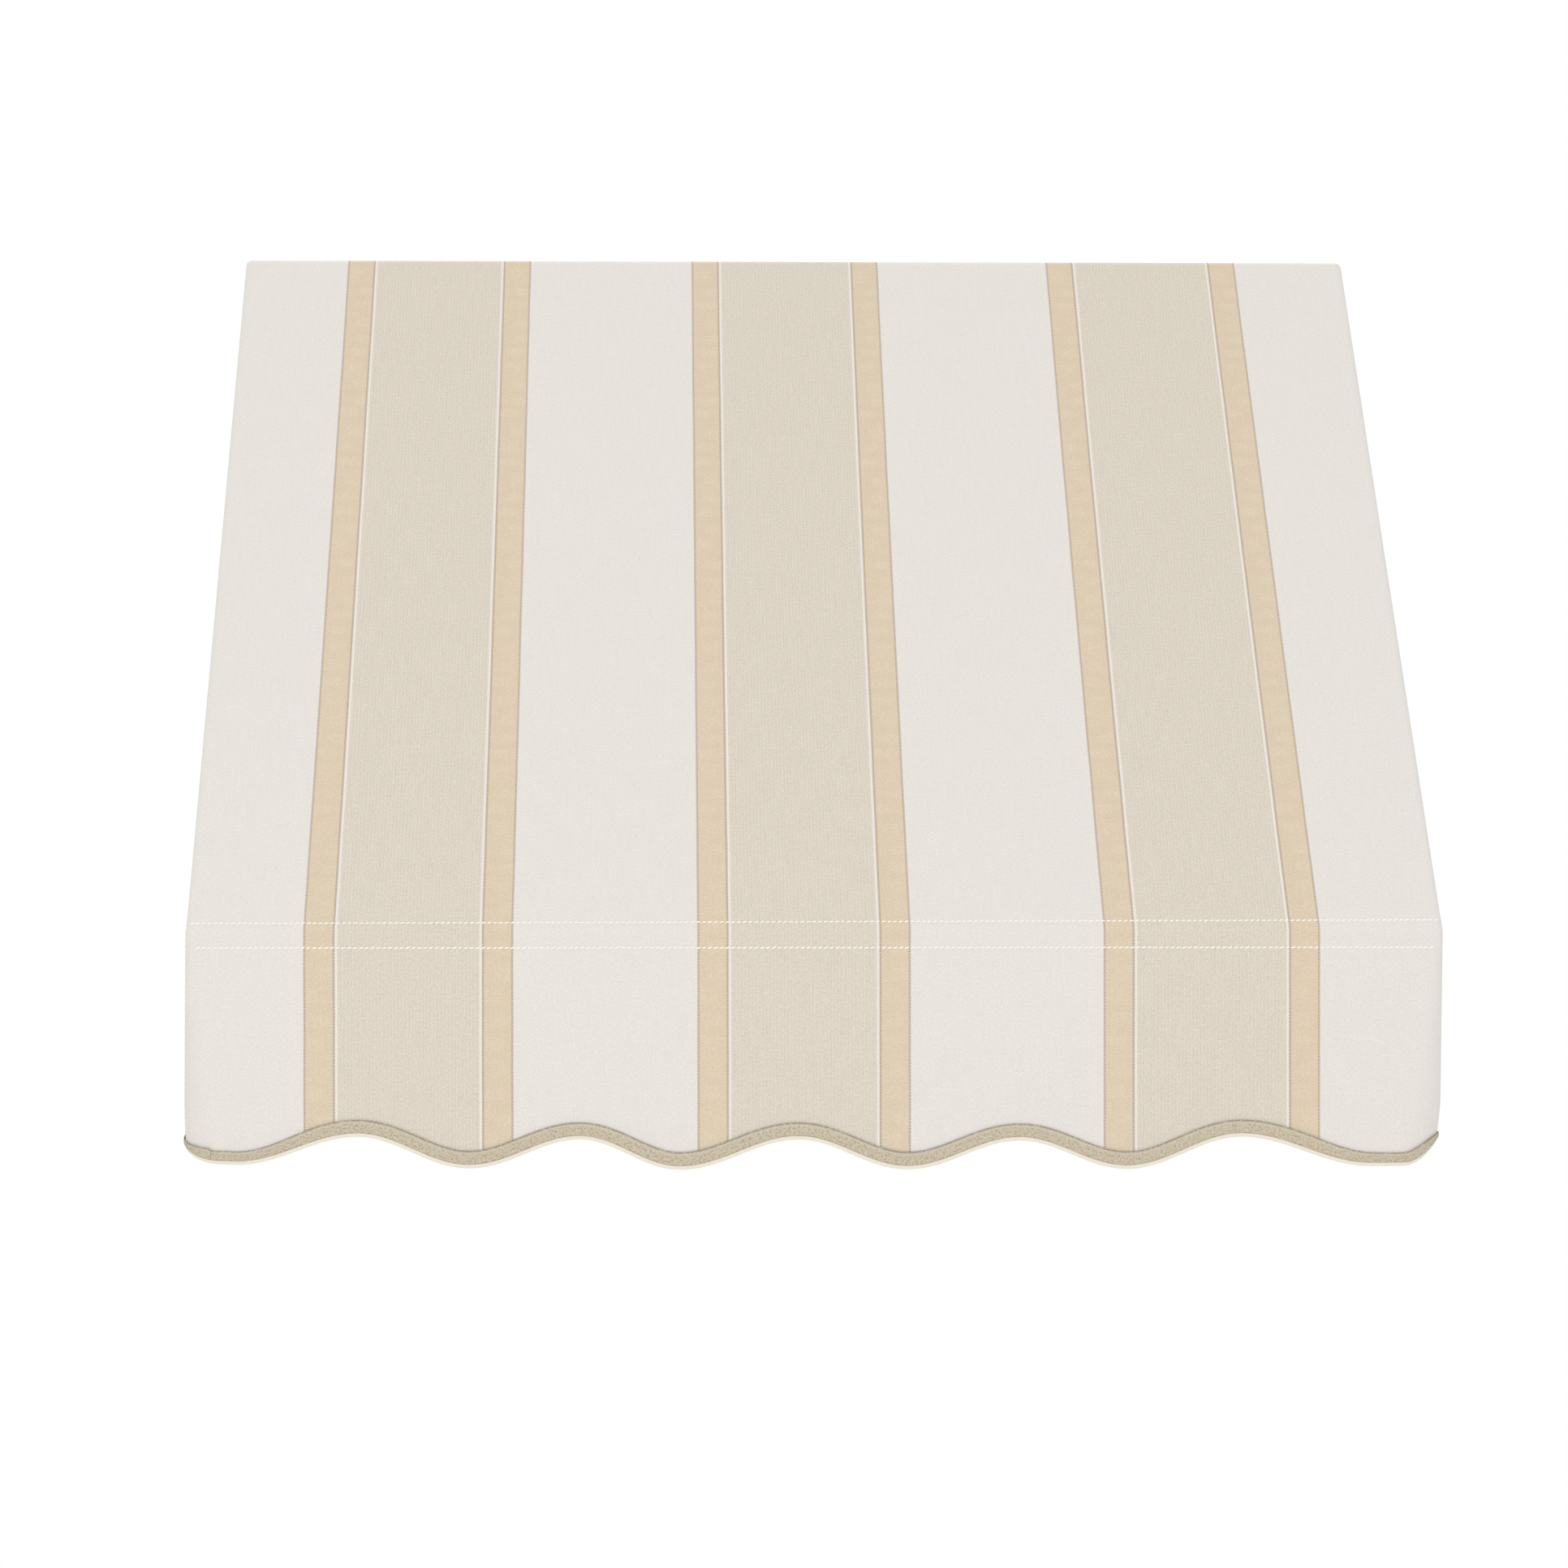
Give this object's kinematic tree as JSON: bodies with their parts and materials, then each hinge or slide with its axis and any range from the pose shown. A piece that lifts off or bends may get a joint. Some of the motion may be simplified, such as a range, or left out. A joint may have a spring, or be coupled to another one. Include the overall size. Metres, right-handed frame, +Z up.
{
  "type": "window awning",
  "caption": "Fixed-frame window awning: striped cloth slope, closed sides and a scalloped, braid-bound valance on a tube frame hung on the wall by hooks and feet.",
  "frame": {"origin": "on the wall plane, on the back face of the centre head bracket, level with the head bar's axis", "axes": "+X along the awning's width, to the right as seen from the street; +Y into the wall; +Z up"},
  "size_m": [1.2212, 0.6111, 0.9576],
  "materials": {
    "cover_cloth": "woven acrylic awning cloth, cream, linen and gold stripes, matt",
    "valance_braid": "woven khaki braid with a cream lower edge",
    "frame_tube": "satin drawn tube",
    "cast_fitting": "as cast, slightly rough",
    "zinc_screw": "zinc plated"
  },
  "bodies": {
    "root": {"canopy_cloth": "cover_cloth", "left_wing": "cover_cloth", "right_wing": "cover_cloth", "front_bar_pocket": "cover_cloth", "left_bar_pocket": "cover_cloth", "right_bar_pocket": "cover_cloth", "valance_braid": "valance_braid", "head_bar": "frame_tube", "front_bar": "frame_tube", "left_rafter": "frame_tube", "left_side_bar": "frame_tube", "left_wall_bar": "frame_tube", "right_rafter": "frame_tube", "right_side_bar": "frame_tube", "right_wall_bar": "frame_tube", "left_head_corner": "cast_fitting", "left_front_corner": "cast_fitting", "left_wall_foot": "cast_fitting", "right_head_corner": "cast_fitting", "right_front_corner": "cast_fitting", "right_wall_foot": "cast_fitting", "left_head_bracket": "cast_fitting", "centre_head_bracket": "cast_fitting", "right_head_bracket": "cast_fitting", "left_bracket_screw": "zinc_screw", "centre_bracket_screw": "zinc_screw", "right_bracket_screw": "zinc_screw", "head_bar_left_screw": "zinc_screw", "head_bar_right_screw": "zinc_screw", "front_bar_left_screw": "zinc_screw", "front_bar_right_screw": "zinc_screw", "left_rafter_top_screw": "zinc_screw", "left_rafter_bottom_screw": "zinc_screw", "left_side_bar_front_screw": "zinc_screw", "left_side_bar_back_screw": "zinc_screw", "left_wall_bar_top_screw": "zinc_screw", "left_wall_bar_bottom_screw": "zinc_screw", "right_rafter_top_screw": "zinc_screw", "right_rafter_bottom_screw": "zinc_screw", "right_side_bar_front_screw": "zinc_screw", "right_side_bar_back_screw": "zinc_screw", "right_wall_bar_top_screw": "zinc_screw", "right_wall_bar_bottom_screw": "zinc_screw"}
  },
  "joints": []
}
